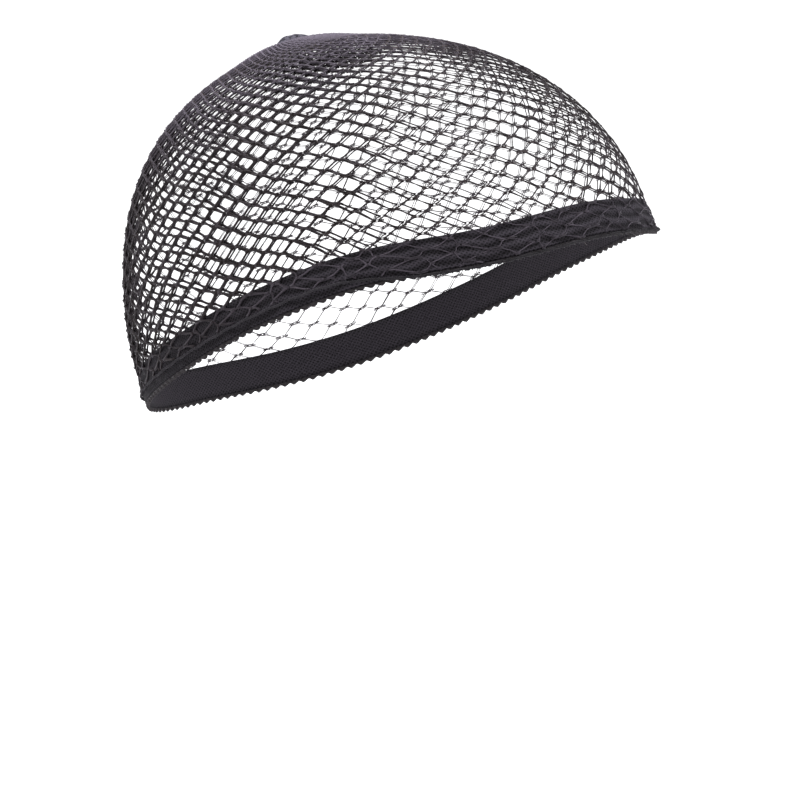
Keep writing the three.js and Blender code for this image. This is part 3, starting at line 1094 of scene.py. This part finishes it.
CAMERA_AZIMUTH = -47.0  # degrees from the brow
CAMERA_ELEVATION = 12.0
CAMERA_DISTANCE = 1500.0
CAMERA_ASIDE = 5.47
CAMERA_BELOW = 38.7
CAMERA_LENS = 202.5
SOFTBOXES = (  # name, place and size in m, power in W, colour
    ("key_softbox", (-1.6, 0.3, 1.5), 1.2, 11, (1.0, 0.99, 0.98)),
    ("fill_softbox", (1.0, -1.7, 0.9), 1.4, 22, (0.96, 0.97, 1.0)),
    ("top_softbox", (0.0, 0.5, 1.9), 1.6, 54, (0.95, 0.95, 1.0)),
)
FLOOR_REACH = 9  # m
FLOOR_DROP = 0.3  # m below the cap


def add_to_scene(name, data):
    made = bpy.data.objects.new(name, data)
    bpy.context.scene.collection.objects.link(made)
    return made


def build_camera():
    azimuth, elevation = np.radians(-CAMERA_AZIMUTH), np.radians(CAMERA_ELEVATION)
    flat = np.cos(elevation)
    back = np.array([-np.sin(azimuth) * flat, -np.cos(azimuth) * flat, np.sin(elevation)])
    right = np.array([np.cos(azimuth), -np.sin(azimuth), 0.0])
    up = np.cross(back, right)
    place = back * CAMERA_DISTANCE + right * CAMERA_ASIDE - up * CAMERA_BELOW
    data = bpy.data.cameras.new("camera")
    data.lens, data.sensor_width, data.clip_end = CAMERA_LENS, 36, 50
    camera = add_to_scene("camera", data)
    rows = [[right[k], up[k], back[k], place[k] * MM] for k in range(3)]
    camera.matrix_world = Matrix([*rows, [0, 0, 0, 1]])
    bpy.context.scene.camera = camera


def build_lights():
    for name, spot, size, power, colour in SOFTBOXES:
        lamp = bpy.data.lights.new(name, "AREA")
        lamp.energy, lamp.size, lamp.color = power, size, colour
        light = add_to_scene(name, lamp)
        light.location = spot
        light.rotation_euler = (Vector() - Vector(spot)).to_track_quat("-Z", "Y").to_euler()
    lamp = bpy.data.lights.new("ceiling", "SUN")
    lamp.energy, lamp.angle = 1.5, np.radians(80)
    add_to_scene("ceiling", lamp)
    scene = bpy.context.scene
    scene.world = scene.world or bpy.data.worlds.new("world")
    scene.world.use_nodes = True
    sky = scene.world.node_tree.nodes["Background"]
    sky.inputs["Color"].default_value = (1, 1, 1, 1)
    sky.inputs["Strength"].default_value = 0.65
    scene.view_settings.view_transform = "Standard"
    scene.view_settings.look = "None"


def build_floor():
    level = CAD_BOX[0][2] - FLOOR_DROP
    low, high = -FLOOR_REACH, FLOOR_REACH
    corners = [(x, y, level) for x, y in ((low, low), (high, low), (high, high), (low, high))]
    mesh = bpy.data.meshes.new("floor")
    mesh.from_pydata(corners, [], [(0, 1, 2, 3)])
    material = bpy.data.materials.new("floor_white")
    material.use_nodes = True
    shader = shader_of(material)
    shader.inputs["Base Color"].default_value = (0.92, 0.92, 0.92, 1)
    shader.inputs["Roughness"].default_value = 0.9
    shader.inputs["Specular IOR Level"].default_value = 0.1
    mesh.materials.append(material)
    floor = add_to_scene("floor", mesh)


# ---- Operators


class WIGNET_OT_net(bpy.types.Operator):
    """Lay the inner and outer fishnet layers strand by strand"""

    bl_idname = "wignet.net"
    bl_label = "Net layers"

    def execute(self, context):
        outer, fine = build_outer_net()
        inner = build_inner_net()
        return {"FINISHED"}


class WIGNET_OT_elastic(bpy.types.Operator):
    """Make the ribbed elastic and its row of picot loops"""

    bl_idname = "wignet.elastic"
    bl_label = "Elastic and picot edge"

    def execute(self, context):
        band = build_elastic()
        picot = build_picot()
        return {"FINISHED"}


class WIGNET_OT_hem(bpy.types.Operator):
    """Make the folded and stitched edge of the outer net"""

    bl_idname = "wignet.hem"
    bl_label = "Hem"

    def execute(self, context):
        build_hem()
        return {"FINISHED"}


class WIGNET_OT_gather(bpy.types.Operator):
    """Make the button where the net is drawn together"""

    bl_idname = "wignet.gather"
    bl_label = "Crown gather"

    def execute(self, context):
        build_gather()
        return {"FINISHED"}


class WIGNET_OT_loose_ends(bpy.types.Operator):
    """Make the short loose end of thread at the brow"""

    bl_idname = "wignet.loose_ends"
    bl_label = "Loose ends"

    def execute(self, context):
        build_loose_ends()
        return {"FINISHED"}


class WIGNET_OT_stage(bpy.types.Operator):
    """Make the camera, the lights and the pale floor"""

    bl_idname = "wignet.stage"
    bl_label = "Stage"

    def execute(self, context):
        build_camera()
        build_lights()
        build_floor()
        return {"FINISHED"}


class WIGNET_PT_panel(bpy.types.Panel):
    """Sizes, colours and the steps that make the cap"""

    bl_idname = "WIGNET_PT_panel"
    bl_label = "Wig net"
    bl_space_type = "VIEW_3D"
    bl_region_type = "UI"
    bl_category = "Wig net"

    def draw(self, context):
        column = self.layout.column()
        for group in (context.scene.wig_net_sizes, context.scene.wig_net_colours):
            for name in group.__annotations__:
                column.prop(group, name)
        for operator in OPERATORS:
            column.operator(operator.bl_idname)


OPERATORS = (
    WIGNET_OT_elastic,
    WIGNET_OT_net,
    WIGNET_OT_hem,
    WIGNET_OT_gather,
    WIGNET_OT_loose_ends,
    WIGNET_OT_stage,
)
CLASSES = (CapSizes, CapColours, *OPERATORS, WIGNET_PT_panel)


def register():
    for made in CLASSES:
        bpy.utils.register_class(made)
    bpy.types.Scene.wig_net_sizes = PointerProperty(type=CapSizes)
    bpy.types.Scene.wig_net_colours = PointerProperty(type=CapColours)


def unregister():
    del bpy.types.Scene.wig_net_colours
    del bpy.types.Scene.wig_net_sizes
    for made in reversed(CLASSES):
        bpy.utils.unregister_class(made)


def main():
    register()
    bpy.ops.wignet.elastic()
    bpy.ops.wignet.net()
    bpy.ops.wignet.hem()
    bpy.ops.wignet.gather()
    bpy.ops.wignet.loose_ends()
    bpy.ops.wignet.stage()


if __name__ == "__main__":
    main()
